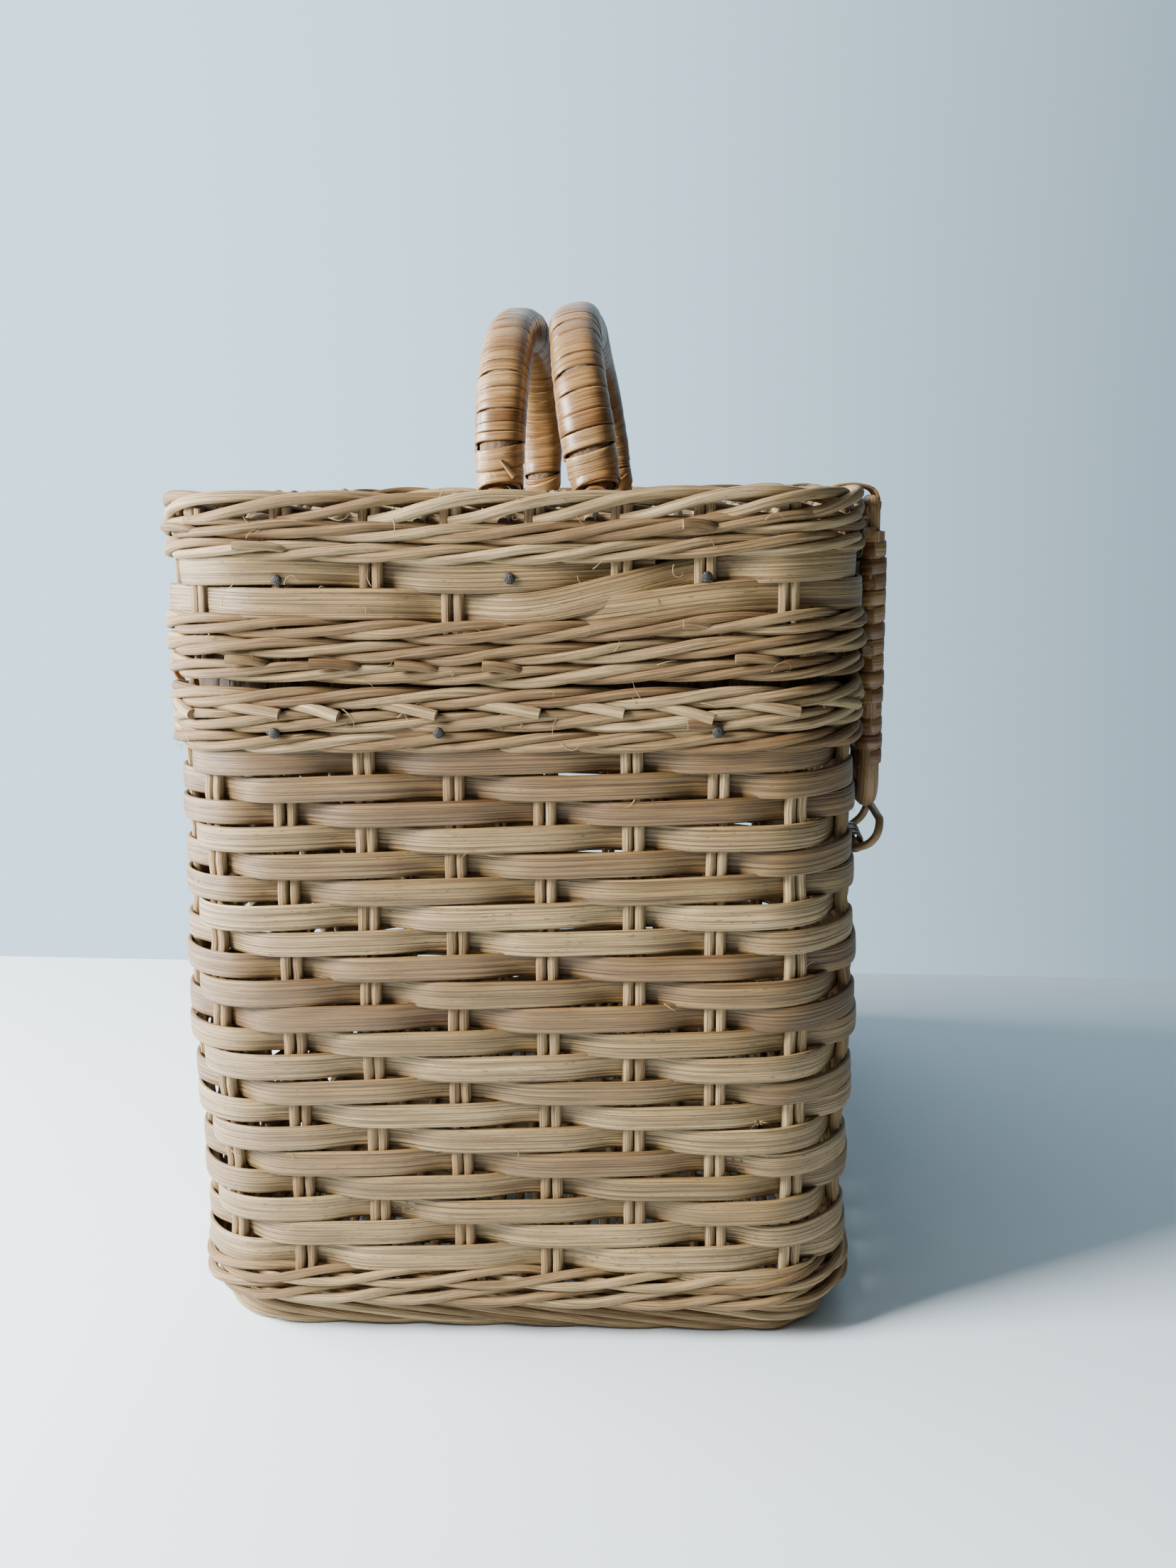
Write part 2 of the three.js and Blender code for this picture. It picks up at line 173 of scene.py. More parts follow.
EDGE, CROWN = 0.36, 0.08  # how square a strip's edges are, and its rise as a part of its thickness


def flat_section(width, thick, sides=12):
    """A split strip: flat inside, slightly crowned outside, with rounded edges."""
    section = oval(width, thick, sides, EDGE)
    section[:, 1] += np.where(section[:, 1] > 0, CROWN * thick * (1 - (2 * section[:, 0] / width) ** 2), 0)
    return section


def unit(v):
    return v / (np.linalg.norm(v, axis=-1, keepdims=True) + 1e-12)


def distances(path):
    """How far along a path each of its points is."""
    return np.concatenate([[0], np.cumsum(np.linalg.norm(np.diff(path, axis=0), axis=1))])


class Strands:
    """Collects swept strands and makes one object of them."""

    def __init__(self):
        self.points, self.canes, self.quads, self.caps, self.count = [], [], [], [], 0

    def add(self, path, out, section, cane, caps=True, taper=None, twist=None):
        """Sweeps the section along a path. out is the way the section's second axis faces, and cane is the
        strand's code. taper scales the section along the path, and twist turns it."""
        n, k = len(path), section.shape[-2]
        along = unit(np.gradient(path, axis=0))
        side = unit(np.cross(along, out))
        out = np.cross(side, along)
        if twist is not None:
            c, s = np.cos(twist)[:, None], np.sin(twist)[:, None]
            side, out = side * c + out * s, out * c - side * s
        shape = np.broadcast_to(section, (n, k, 2)).copy()
        if taper is not None:
            shape *= taper[:, None, None]
        points = path[:, None] + side[:, None] * shape[..., :1] + out[:, None] * shape[..., 1:]
        ring = np.linalg.norm(np.diff(shape, axis=1, append=shape[:, :1]), axis=2)
        around = np.concatenate([np.zeros((n, 1)), np.cumsum(ring, 1)[:, :-1]], 1)
        around = np.minimum(around, ring.sum(1, keepdims=True) - around)  # no seam where the ring closes
        length = distances(path)[:, None] + cane * 37.7 % 500  # each strand starts elsewhere in the grain
        info = np.stack([np.broadcast_to(length, (n, k)), around, np.full((n, k), cane)], -1)
        i, j = np.arange(n - 1)[:, None] * k, np.arange(k)
        j2 = (j + 1) % k
        quads = self.count + np.stack([i + j, i + j2, i + k + j2, i + k + j], -1)
        self.quads.append(quads.reshape(-1, 4)[:, ::-1])
        self.put(points.reshape(-1, 3), info.reshape(-1, 3))
        for end in (0, -1) if caps else ():
            ids = self.count + np.arange(k)[None]
            self.caps.append(ids if end == 0 else ids[:, ::-1])
            mark = info[end].copy()
            mark[:, :2] = 3 * shape[end]
            mark[:, 2] += 0.5  # a cut face
            self.put(points[end], mark)

    def put(self, points, info):
        self.points.append(points)
        self.canes.append(info)
        self.count += len(points)

    def make(self, name, material, slot, body, nodes=()):
        """Makes the object, with its finish, its body and the CAD nodes it stands for."""
        points = np.concatenate(self.points) * 0.001
        faces = [self.quads] if not self.caps else [self.quads, self.caps]
        loops = np.concatenate([f.reshape(-1) for group in faces for f in group])
        sizes = np.concatenate([np.full(len(f), f.shape[1]) for group in faces for f in group])
        mesh = bpy.data.meshes.new(name)
        mesh.vertices.add(len(points))
        mesh.vertices.foreach_set("co", points.astype(np.float32).ravel())
        mesh.loops.add(len(loops))
        mesh.loops.foreach_set("vertex_index", loops.astype(np.int32))
        mesh.polygons.add(len(sizes))
        mesh.polygons.foreach_set("loop_start", (np.cumsum(sizes) - sizes).astype(np.int32))
        mesh.update(calc_edges=True)
        mesh.validate()
        mesh.shade_smooth()
        cane = mesh.attributes.new("cane", "FLOAT_VECTOR", "POINT")
        info = np.concatenate(self.canes) * (0.001, 0.001, 1)
        cane.data.foreach_set("vector", info.astype(np.float32).ravel())
        mesh.materials.append(material)
        obj = bpy.data.objects.new(name, mesh)
        bpy.context.scene.collection.objects.link(obj)
        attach(obj, body)
        if nodes:
            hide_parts(*nodes)


# ---------------------------------------------------------------- finishes


class Finish:
    """A node material, built with short calls."""

    def __init__(self, name):
        self.material = bpy.data.materials.new(name)
        self.material.use_nodes = True
        self.tree = self.material.node_tree
        self.tree.nodes.clear()
        self.shader = self.tree.nodes.new("ShaderNodeBsdfPrincipled")
        output = self.tree.nodes.new("ShaderNodeOutputMaterial")
        self.tree.links.new(self.shader.outputs[0], output.inputs[0])

    def node(self, kind, out=0, inputs=(), **props):
        """Adds a node and returns one of its outputs. An input is a value or another node's output."""
        node = self.tree.nodes.new("ShaderNode" + kind)
        for key, value in props.items():
            setattr(node, key, value)
        for key, value in dict(inputs).items():
            self.set(node.inputs[key], value)
        return node.outputs[out]

    def set(self, socket, value):
        if isinstance(value, bpy.types.NodeSocket):
            self.tree.links.new(value, socket)
        else:
            socket.default_value = value

    def math(self, operation, a, b=0.0, c=0.0):
        return self.node("Math", inputs={0: a, 1: b, 2: c}, operation=operation)

    def noise(self, vector, detail=2.0, roughness=0.5, scale=1.0):
        return self.node("TexNoise", inputs={
            "Vector": vector, "Scale": scale, "Detail": detail, "Roughness": roughness})

    def ramp(self, factor, stops):
        node = self.tree.nodes.new("ShaderNodeValToRGB")
        while len(node.color_ramp.elements) < len(stops):
            node.color_ramp.elements.new(0.5)
        for element, (at, color) in zip(node.color_ramp.elements, stops):
            element.position = at
            element.color = (*color, 1) if isinstance(color, tuple) else (color, color, color, 1)
        self.set(node.inputs[0], factor)
        return node.outputs[0]

    def mix(self, factor, a, b, blend="MIX"):
        node = self.tree.nodes.new("ShaderNodeMix")
        node.data_type, node.blend_type = "RGBA", blend
        for socket, value in ((node.inputs[0], factor), (node.inputs[6], a), (node.inputs[7], b)):
            self.set(socket, (*value, 1) if isinstance(value, tuple) else value)
        return node.outputs[2]

    def tinted(self, color, by):
        return self.mix(1.0, color, by, "MULTIPLY")

    def bump(self, height, distance):
        inputs = {"Strength": 1.0, "Distance": distance, "Height": height}
        self.shade("Normal", self.node("Bump", inputs=inputs))

    def shade(self, name, value):
        self.set(self.shader.inputs[name], value)

    def fix(self, **values):
        """Constant values on the shader's own sockets; an underscore stands for a space."""
        for key, value in values.items():
            self.shader.inputs[key.replace("_", " ")].default_value = value
        return self


def cane_finish(name, tones, cut, rough, long, fine, relief, lines=0.5, specks=0.5, stain=0.3):
    """Split or round cane. A strand's attribute holds the way along it, the way round it, and ten times its
    seed plus the place of its tone among the tones, with a half more on a cut face."""
    f = Finish(name)
    cane = f.node("Attribute", out=1, attribute_name="cane")
    parts = f.tree.nodes.new("ShaderNodeSeparateXYZ")
    f.set(parts.inputs[0], cane)
    along, across, code = parts.outputs
    code = f.math("ADD", code, 0.1)
    seed = f.math("MULTIPLY", f.math("FLOOR", code), 0.731)
    cut_face = f.math("GREATER_THAN", f.math("FRACT", code), 0.3)
    tone_at = f.math("DIVIDE", f.math("MODULO", f.math("FLOOR", code), 10.0), 9.0)

    def coords(x, y, shift=0.0):
        return f.node("CombineXYZ", inputs={
            0: f.math("MULTIPLY", along, x), 1: f.math("MULTIPLY", across, y), 2: f.math("ADD", seed, shift)})

    drift = f.noise(coords(24, 90, 5.0), detail=2)
    tone = f.ramp(f.math("MULTIPLY_ADD", f.math("SUBTRACT", drift, 0.5), 0.55, tone_at),
                  [(i / (len(tones) - 1), t) for i, t in enumerate(tones)])
    grain = f.noise(coords(long, fine), detail=4, roughness=0.62)
    thread = f.noise(coords(long * 0.25, fine * 1.9, 9.0), detail=1)
    line = f.ramp(thread, [(0.52, 0.0), (0.62, 1.0)])
    speck = f.ramp(f.noise(coords(420, 2100, 3.0), detail=1), [(0.66, 0.0), (0.72, 1.0)])
    blotch = f.ramp(f.noise(coords(45, 260, 13.0), detail=3, roughness=0.7), [(0.5, 0.0), (0.72, 1.0)])
    groove, ridge = (f.tinted(tone, by) for by in ((0.48, 0.44, 0.38), (1.13, 1.13, 1.11)))
    color = f.mix(f.ramp(grain, [(0.36, 0.0), (0.64, 1.0)]), groove, ridge)
    color = f.mix(f.math("MULTIPLY", line, lines), color, f.tinted(color, (0.48, 0.39, 0.30)))
    color = f.mix(f.math("MULTIPLY", blotch, stain), color, f.tinted(color, (0.78, 0.64, 0.50)))
    color = f.mix(f.math("MULTIPLY", speck, specks), color, (0.10, 0.055, 0.03))
    pith = f.ramp(f.noise(coords(1500, 1500), detail=2), [(0.35, tuple(0.45 * c for c in cut)), (0.65, cut)])
    f.shade("Base Color", f.mix(cut_face, color, pith))
    f.shade("Roughness", f.math("MULTIPLY_ADD", grain, 0.24, rough - 0.12))
    f.bump(f.math("SUBTRACT", grain, f.math("MULTIPLY", line, 0.35)), relief)
    return f


STRAW = [(0.145, 0.080, 0.033), (0.202, 0.124, 0.054), (0.258, 0.168, 0.079), (0.316, 0.220, 0.110),
         (0.405, 0.300, 0.165)]
OCHRE = [(0.150, 0.081, 0.026), (0.202, 0.120, 0.041), (0.236, 0.154, 0.057), (0.300, 0.205, 0.090),
         (0.425, 0.312, 0.158)]
HONEY = [(0.190, 0.088, 0.026), (0.248, 0.126, 0.042), (0.300, 0.167, 0.062), (0.345, 0.208, 0.086),
         (0.405, 0.265, 0.125)]
RATTAN = [(0.24, 0.12, 0.045), (0.30, 0.165, 0.07), (0.35, 0.21, 0.095), (0.41, 0.27, 0.14)]
round_cane = cane_finish("round_cane", STRAW, (0.30, 0.19, 0.10), 0.66, 70, 1700, 0.0003, specks=0.35)
round_cane = round_cane.fix(Specular_IOR_Level=0.32).material
flat_cane = cane_finish("flat_cane", OCHRE, (0.30, 0.18, 0.09), 0.47, 34, 1500, 0.0003, 0.9, 0.8, 0.45)
flat_cane = flat_cane.fix(Specular_IOR_Level=0.55).material
peel_cane = cane_finish("peel_cane", HONEY, (0.36, 0.21, 0.10), 0.4, 55, 1200, 0.00012, 0.45, 0.6, 0.6)
peel_cane = peel_cane.fix(Specular_IOR_Level=0.55, Coat_Weight=0.2, Coat_Roughness=0.24).material
rattan = cane_finish("rattan", RATTAN, (0.40, 0.27, 0.15), 0.5, 50, 1500, 0.00016)
rattan = rattan.fix(Specular_IOR_Level=0.45, Coat_Weight=0.1, Coat_Roughness=0.4).material


def mottled(name, scale, stops):
    """A finish that varies in its own place between two colours, and the noise that it follows."""
    f = Finish(name)
    grain = f.noise(f.node("TexCoord", out=3), detail=3, scale=scale)
    f.shade("Base Color", f.ramp(grain, stops))
    return f, grain


def shadow_finish():
    """Painted shade: the inside of bindings, seen only through their slits, coloured a mottled near-black
    brown for the shade in there.
    """
    f, grain = mottled("shaded_inner_cane", 900, [(0.3, (0.07, 0.042, 0.022)), (0.7, (0.19, 0.12, 0.065))])
    f.bump(grain, 0.0002)
    return f.fix(Roughness=0.9).material


def steel_finish():
    f, dirt = mottled("blued_steel", 2600, [(0.35, (0.010, 0.009, 0.008)), (0.62, (0.05, 0.047, 0.043))])
    f.shade("Roughness", f.math("MULTIPLY_ADD", dirt, 0.3, 0.35))
    f.bump(dirt, 0.0003)
    return f.fix(Metallic=0.3, Specular_IOR_Level=0.25).material


shaded_inner_cane, blued_steel = shadow_finish(), steel_finish()
SEEDS = iter(range(1, 100000))


def code(tone=None, low=0, high=9):
    """A new strand's code: a seed of its own, and a tone from 0, dark, to 9, pale."""
    if tone is None:
        tone = int(rng.integers(low, high + 1))
    return next(SEEDS) * 10 + int(np.clip(tone, 0, 9))


# ---------------------------------------------------------------- stakes and flat weavers

ROW = 7.03
ROWS = int(round((Z_WALL[1] - Z_WALL[0] - 0.6) / ROW))
FIRST_ROW = Z_WALL[0] + 3.4


def weave_in_out(n):
    """-1 behind a stake, 1 in front of the next two."""
    return smooth([0, 0.28, 0.5, 0.75, 1, 1.5, 2, 2.25, 2.5, 2.72, 3],
                  [-1, -0.72, 0, 0.72, 1, 1.06, 1, 0.72, 0, -0.72, -1], np.mod(n, 3))


def stakes(z_from, z_to, at, steps, push=None):
    """Upright canes, in pairs. push(k, z) moves them in or out."""
    strands = Strands()
    z = np.linspace(z_from, z_to, steps)
    for k in range(STAKES):
        sway = wander(z, 0.25, 60) + rng.normal(0, 0.25)
        gap = STAKE - 0.05 + abs(rng.normal(0, 0.08))
        tone = int(rng.integers(4, 9))
        for side in (-1, 1):
            s = at(k) + sway + side * gap + wander(z, 0.08, 30)
            u = bulge(z) + (push(k, z) if push else 0) + rng.normal(0, 0.12)
            path, out = rim(s, u, z)
            size = 2 * STAKE * rng.uniform(0.93, 1.05)
            strands.add(path, out, oval(size, size, 12, 0.75), code(tone + int(rng.integers(-1, 2))))
    return strands


def wall_push(k, z):
    row = (z - FIRST_ROW) / ROW - k / STAKES
    return 0.22 * np.cos(2 * np.pi * (k + STAKES * row) / 3)


def level(path):
    """The body's rounds lie level."""
    return 0.0


def sag(path):
    """The lid's rounds dip in the middle of each side and rise towards the corners."""
    turn = np.arctan2(path[..., 1] - CENTRE_Y, -path[..., 0])
    return -1.15 * np.cos(6 * turn)


def spiral(climb, begin, end, width, deep, tones, at=place, belly=bulge, settle=level):
    """Flat weavers that wind round the stakes, over two and behind one, spliced where they pass behind.
    climb(n) is the height of the strip's middle at stake n, counted on from one round to the next."""
    strands = Strands()
    count = (end - begin) * 4 + 12
    drift = wander(np.arange(count) / 4.0, 0.16, 2.2)
    start = begin
    while start < end:
        stop = min(start + 3 * int(rng.integers(8, 20)), end)
        wide = width * rng.uniform(0.95, 1.05)
        n = np.linspace(start - 0.15, stop + 0.4, int((stop - start + 0.55) * 10) + 1)
        wave = weave_in_out(n)
        z = climb(n) + np.interp((n - begin + 1) * 4, np.arange(count), drift)
        z = z + 0.35 * np.sin((np.mod(n, 3) - 1.5) * np.pi / 1.5)
        path, out = rim(at(n), deep * wave + belly(z), z)
        path[:, 2] += settle(path)
        lean = wander(n, 0.03, 2.0)
        shape = np.tile(flat_section(wide, 1.25), (len(n), 1, 1))
        shape[..., 0] *= (1 + wander(n, 0.022, 3.0))[:, None]
        strands.add(path, out + lean[:, None] * Z, shape, code(tones[int(rng.integers(len(tones)))]))
        start = stop
    return strands


def tuck(k, z):
    """Each stake turns in under the foot at its lower end."""
    return wall_push(k, z) - 9.0 * np.clip((15 - z) / 10, 0, 1) ** 1.3


def wall_climb(n):
    return FIRST_ROW + ROW * n / STAKES


wall_stakes = stakes(3.4, Z_BORDER[0] + 4, place, 90, tuck)
wall_stakes.make("wall_stakes", round_cane, "round_cane", "basket")
wall = spiral(wall_climb, 1 - STAKES, ROWS * STAKES + 4, width=7.1, deep=2.1,
              tones=(1, 2, 3, 4, 5, 5, 6, 7, 8))
wall.make("wall_weavers", flat_cane, "flat_cane", "basket", ["wall_weave"])

# ---------------------------------------------------------------- wales and borders


def band(strands, z_low, knots, radius, line=place, tones=(2, 9), steps=26, wild=0.15, settle=level):
    """One round of strands, one from behind every stake. knots: (phase, u, rise) from stake to stake."""
    phase = np.linspace(knots[0][0], knots[-1][0], steps)
    at, out_by, rise = (np.array(column, float) for column in zip(*knots))
    u0, z0 = smooth(at, out_by, phase), smooth(at, rise, phase)
    lanes = [code(None, *tones) for _ in range(3)]
    for k in range(STAKES):
        if rng.random() < 0.2:
            lanes[k % 3] = code(None, *tones)
        inside = np.sin(np.pi * (phase - at[0]) / (at[-1] - at[0]))
        u = u0 + (wander(phase, 0.12, 0.9) + rng.normal(0, 0.1)) * inside
        z = z_low + z0 + (wander(phase, wild, 0.8) + rng.normal(0, wild)) * inside
        path, out = rim(line(k + phase), u, z)
        path[:, 2] += settle(path)
        size = 2 * radius * rng.uniform(0.9, 1.08)
        twist = wander(phase, 0.5, 1.5) + rng.uniform(0, 6)
        strands.add(path, out, oval(size, size * 0.94, 10), lanes[k % 3], twist=twist)


def rounds(node, body, bands, radius=WALE_STRAND, **looks):
    """The strands of one CAD ring. bands: (height above its foot, knots)."""
    strands = Strands()
    for height, knots in bands:
        band(strands, span(node, 2)[0] + height, knots, radius, **looks)
    strands.make(node + "_strands", round_cane, "round_cane", body, [node])


def wale_knots(inner, outer):
    """Out from behind one stake, low and under the two strands ahead, up across two stakes and in again."""
    rise = 3.2  # of a strand within its band
    return [(0, inner, 0.45 * rise), (0.3, inner + 0.9, 0.13 * rise), (0.6, outer - 1.5, 0.0),
            (1.0, outer - 0.2, 0.06 * rise), (1.5, outer, 0.45 * rise), (2.0, outer - 0.2, 0.93 * rise),
            (2.4, outer - 1.4, rise), (2.7, inner + 1.1, 0.82 * rise), (3.0, inner, 0.45 * rise)]


LOWER_KNOTS = [(0, -1.9, 1.7), (0.3, -0.4, 1.3), (0.6, 1.3, 0.5), (1.0, 2.6, 0.0), (1.45, 2.9, 0.3),
               (1.9, 2.7, 2.1), (2.3, 1.6, 3.4), (2.65, -0.3, 3.3), (3.0, -1.9, 1.7)]
rounds("lower_wale", "basket", [(2.2, LOWER_KNOTS), (7.4, LOWER_KNOTS)])

FOOT_KNOTS = [(0, -3.6, 8.9), (0.5, -2.9, 7.6), (1.0, -2.6, 6.1), (2.0, -2.9, 3.2), (2.6, -3.6, 1.2),
              (3.0, -4.4, 0.2), (3.4, -5.8, 0.0), (3.8, -7.6, 0.5), (4.2, -9.4, 2.2)]
INNER_FOOT = [(0, -4.6, 8.4), (0.5, -7.0, 7.2), (1.0, -9.3, 4.4), (1.5, -10.2, 2.6), (2.0, -9.9, 3.4),
              (2.5, -8.0, 6.4), (3.0, -6.0, 8.2)]
foot, z_foot = Strands(), span("foot_border", 2)[0] + FOOT_STRAND
band(foot, z_foot, FOOT_KNOTS, FOOT_STRAND, tones=(4, 9), steps=34, wild=0.06)
band(foot, z_foot, INNER_FOOT, FOOT_STRAND, wild=0.05)
foot.make("foot_border_strands", round_cane, "round_cane", "basket", ["foot_border"])

UPPER_IN, LID_IN = -1.2, -0.3  # where the strands of the body's and the lid's rounds pass inside a stake
rounds("upper_wale", "basket", [(0.6, wale_knots(UPPER_IN, 3.2)), (6.2, wale_knots(UPPER_IN, 3.3))])
rounds("body_border", "basket", [(3.3, wale_knots(UPPER_IN, 3.4))])


def stubs(strands, stakes_at, phases, heights, depths, line=place, tones=(7, 9), radius=1.5, settle=level):
    """Cut cane ends that lie along a round. In each pair the first is inside it and the second at the cut."""
    t = np.linspace(0, 1, 9)
    for k in stakes_at:
        phase = phases[0] + (phases[1] + rng.normal(0, 0.08) - phases[0]) * t
        u = depths[0] + (depths[1] + rng.normal(0, 0.3) - depths[0]) * np.sqrt(t)
        z = heights[0] + (heights[1] + rng.normal(0, 0.4) - heights[0]) * t + 0.4 * np.sin(np.pi * t)
        path, out = rim(line(k + phase), u, z)
        path[:, 2] += settle(path)
        size = 2 * radius * rng.uniform(0.88, 1.08)
        taper = np.interp(t, [0, 0.1, 0.9, 1], [0.6, 0.9, 1, 0.94])
        strands.add(path, out, oval(size, size, 12), code(None, *tones), taper=taper)


def strays(count):
    """Stakes picked at random."""
    return rng.choice(STAKES, count, replace=False)


z = Z_BORDER[0]
body_stubs = Strands()
stubs(body_stubs, range(STAKES), (0.1, 0.9), (z + 3.6, z + 0.6), (0.6, 4.6))
for z in (Z_UPPER[0] + 2.5, Z_UPPER[0] + 7):
    stubs(body_stubs, strays(4), (1.1, 0.6), (z - 0.8, z), (2.4, 4.9), tones=(1, 6), radius=1.3)
body_stubs.make("body_border_ends", round_cane, "round_cane", "basket")

# ---------------------------------------------------------------- lid


def border_sag(path):
    return 0.6 * sag(path) + 0.5


def top_sag(path):
    return 0.3 * sag(path) + 0.4


rounds("lid_border", "lid", [(1.05, wale_knots(LID_IN, 3.3))], line=lid_place, settle=border_sag)
z = Z_LID_BORDER[0]
lid_stubs = Strands()
stubs(lid_stubs, strays(30), (0.85, 0.3), (z + 4.6, z + 6.2), (2.8, 5.4), lid_place, (0, 4), 1.35, sag)
for z in (Z_LID_LOWER[0] + 6, Z_LID_UPPER[0] + 3.0, Z_LID_UPPER[0] + 7.5):
    stubs(lid_stubs, strays(4), (1.1, 0.6), (z - 0.8, z), (2.4, 5.0), lid_place, (1, 6), 1.3, sag)
lid_stubs.make("lid_border_ends", round_cane, "round_cane", "lid")
LOWER_LID = [(-1.0, wale_knots(LID_IN, 3.7)), (4.5, wale_knots(LID_IN, 3.9))]
rounds("lid_lower_wale", "lid", LOWER_LID, line=lid_place, settle=sag)


def lid_flare(z):
    """The foot of the lid's flat rows stands a little further out."""
    return 1.1 * np.clip((212 - z) / 5, 0, 1)


lid_stakes = stakes(Z_LID_LOWER[0] - 3, Z_LID_TOP[0] + 4.2, lid_place, 24)
lid_stakes.make("lid_stakes", round_cane, "round_cane", "lid")
LID_STEPS = [0, 1, 2, 3, 4, 39, 40, 41, 42, 43, 44, 90]  # stakes
LID_HEIGHTS = [-3.2, -1.7, -0.4, 0, 0, 0, 0.2, 3.4, 6.9, 7.5, 7.5, 7.5]


def lid_climb(n):
    """The strip starts low at stake 0, steps up past its own start after a round, and ends at stake 81."""
    return Z_LID_WEAVE[0] + 3.5 + smooth(LID_STEPS, LID_HEIGHTS, n)


lid_rows = spiral(lid_climb, 0, 81, width=8.1, deep=1.75, tones=(1, 2, 5, 6, 3), at=lid_place,
                  belly=lid_flare, settle=sag)
lid_rows.make("lid_weavers", flat_cane, "flat_cane", "lid", ["lid_weave"])

UPPER_LID = [(height, wale_knots(LID_IN, 2.9)) for height in (0.4, 5.9)]
rounds("lid_upper_wale", "lid", UPPER_LID, line=lid_place, settle=sag)
TOP_KNOTS = [(0, 1.0, -0.5), (0.3, 2.0, 0.6), (0.65, 2.5, 2.6), (1.0, 2.4, 4.4), (1.3, 1.8, 5.3),
             (1.7, 0.6, 5.6), (2.1, -0.8, 5.1), (2.5, -1.9, 4.0), (3.0, -2.7, 2.2), (3.4, -3.2, 0.6)]
rounds("lid_top_border", "lid", [(0.6, TOP_KNOTS)], TOP_STRAND, line=lid_place, steps=34, settle=top_sag)

# ---------------------------------------------------------------- woven mats of the base and the lid

JOINTS = {j["name"]: np.array(j["pos_m"]) * 1000 for j in frame["joints"]}
HANDLE_Y = {side: JOINTS[f"handle_{side}_pivot"][1] for side in ("front", "back")}

RIB_GAP, WEAVER_GAP = 20.2, 5.55
RIB_APART = 1.55  # from the middle of a pair of ribs
WAVE = 1.95  # how far the weavers rise and dip
DENT, DENT_X, DENT_Y = 4.4, 13, 15  # depth and reach


def mat(node, edge, crown, dents=()):
    """Round weavers along X over and under pairs of ribs along Y. dents: (x, y) where a lashing pulls."""
    middle = sum(span(node, 2)) / 2
    half_x, half_y = HALF_LENGTH + edge, HALF_WIDTH + edge
    radius = CORNER + edge

    def reach(v, half, other):
        """How far the mat goes at v, along the other direction."""
        corner = np.maximum(np.abs(v) - (half - radius), 0)
        return other - radius + np.sqrt(np.maximum(radius**2 - corner**2, 0))

    def surface(x, y):
        z = middle + crown * (1 - np.abs(x / half_x) ** 2.4) * (1 - np.abs(y / half_y) ** 2.4)
        for dx, dy in dents:
            z = z - DENT * np.exp(-(((x - dx) / DENT_X) ** 2) - ((y - dy) / DENT_Y) ** 2)
        return z

    strands = Strands()
    for x in (np.arange(13) - 6) * RIB_GAP:
        for side in (-1, 1):
            far = reach(x, half_x, half_y) - 1
            y = np.linspace(-far, far, 40)
            px = x + side * RIB_APART + wander(y, 0.15, 30)
            path = np.stack([px, y + CENTRE_Y, surface(px, y) + wander(y, 0.1, 30)], -1)
            strands.add(path, Z, oval(2.9, 2.7, 8), code(None, 3, 8))
    rows = int((half_y - 1) / WEAVER_GAP)
    for j in range(-rows, rows + 1):
        y0 = j * WEAVER_GAP
        far = reach(y0, half_y, half_x) - 0.5
        x = np.linspace(-far, far, 150)
        wave = np.cos(np.pi * (x / RIB_GAP + j))
        wave = wave * (1 - 0.25 * wave**2) / 0.75
        y = y0 + wander(x, 0.2, 25)
        path = np.stack([x, y + CENTRE_Y, surface(x, y) + WAVE * wave + wander(x, 0.12, 20)], -1)
        strands.add(path, Z, oval(3.1 * rng.uniform(0.9, 1.1), 2.5, 8), code(None, 5, 9))
    return strands


base_mat = mat("base_mat", edge=-5.5, crown=0.0)
base_mat.make("base_weave", round_cane, "flat_cane", "basket", ["base_mat"])
SWING = {"front": -2, "back": 6}  # towards where each handle's feet go as it leans
FEET = [(x, HANDLE_Y[side] + SWING[side] - CENTRE_Y) for x in (-80, 80) for side in SWING]
lid_mat = mat("lid_mat", edge=-5.5, crown=5.0, dents=FEET)
lid_mat.make("lid_weave_mat", round_cane, "flat_cane", "lid", ["lid_mat"])

# ---------------------------------------------------------------- bound hoops

HOOP_STRIP = 8.0  # about the width of a strip of its binding
HOOP_THICK = 0.9
HOOP_DEEP = 5.4  # through the wall
HOOP_ROUND = 1.9  # corner radius of its section


def bound_hoop(node, body):
    """Flat cane wound round a hoop's core, as upright strips."""
    low, high = span(node + "_wrap", 2)
    low = min(low, span(node + "_core", 2)[0])
    u_out = span(node + "_wrap", 0)[1] - HALF_LENGTH
    u_in = u_out - HOOP_DEEP
    half_u, half_z = (u_out - u_in - HOOP_THICK) / 2, (high - low - HOOP_THICK) / 2
    count = int(LOOP / HOOP_STRIP)
    pitch = LOOP / count
    strands = Strands()
    length = 4 * (half_u + half_z - 2 * HOOP_ROUND) + 2 * math.pi * HOOP_ROUND
    at = np.linspace(0, length, 31)
    loop, out2 = rounded(at, half_u, half_z, HOOP_ROUND)
    for j in range(count):
        s = (j + rng.normal(0, 0.02)) * pitch + pitch * at / length
        lift = rng.uniform(-0.1, 0.18)
        path, out = rim(s, (u_in + u_out) / 2 + loop[:, 0] + out2[:, 0] * lift,
                        (high + low) / 2 + loop[:, 1] + out2[:, 1] * lift)
        facing = out * out2[:, :1] + Z * out2[:, 1:]
        section = flat_section(pitch * rng.uniform(0.9, 0.99), HOOP_THICK, 8)
        strands.add(path, facing, section, code(None, 1, 6), caps=False)
    strands.make(node + "_binding", flat_cane, "flat_cane", body, [node + "_wrap"])


bound_hoop("body_hoop", "basket")
bound_hoop("lid_hoop", "lid")
# The hoop cores show only through the slits of their binding; their very dark finish is painted shade.
for name in ("body_hoop_core", "lid_hoop_core"):
    obj = frame["nodes"][name]
    obj.data.materials.clear()
    obj.data.materials.append(shaded_inner_cane)

# ---------------------------------------------------------------- windings of peel


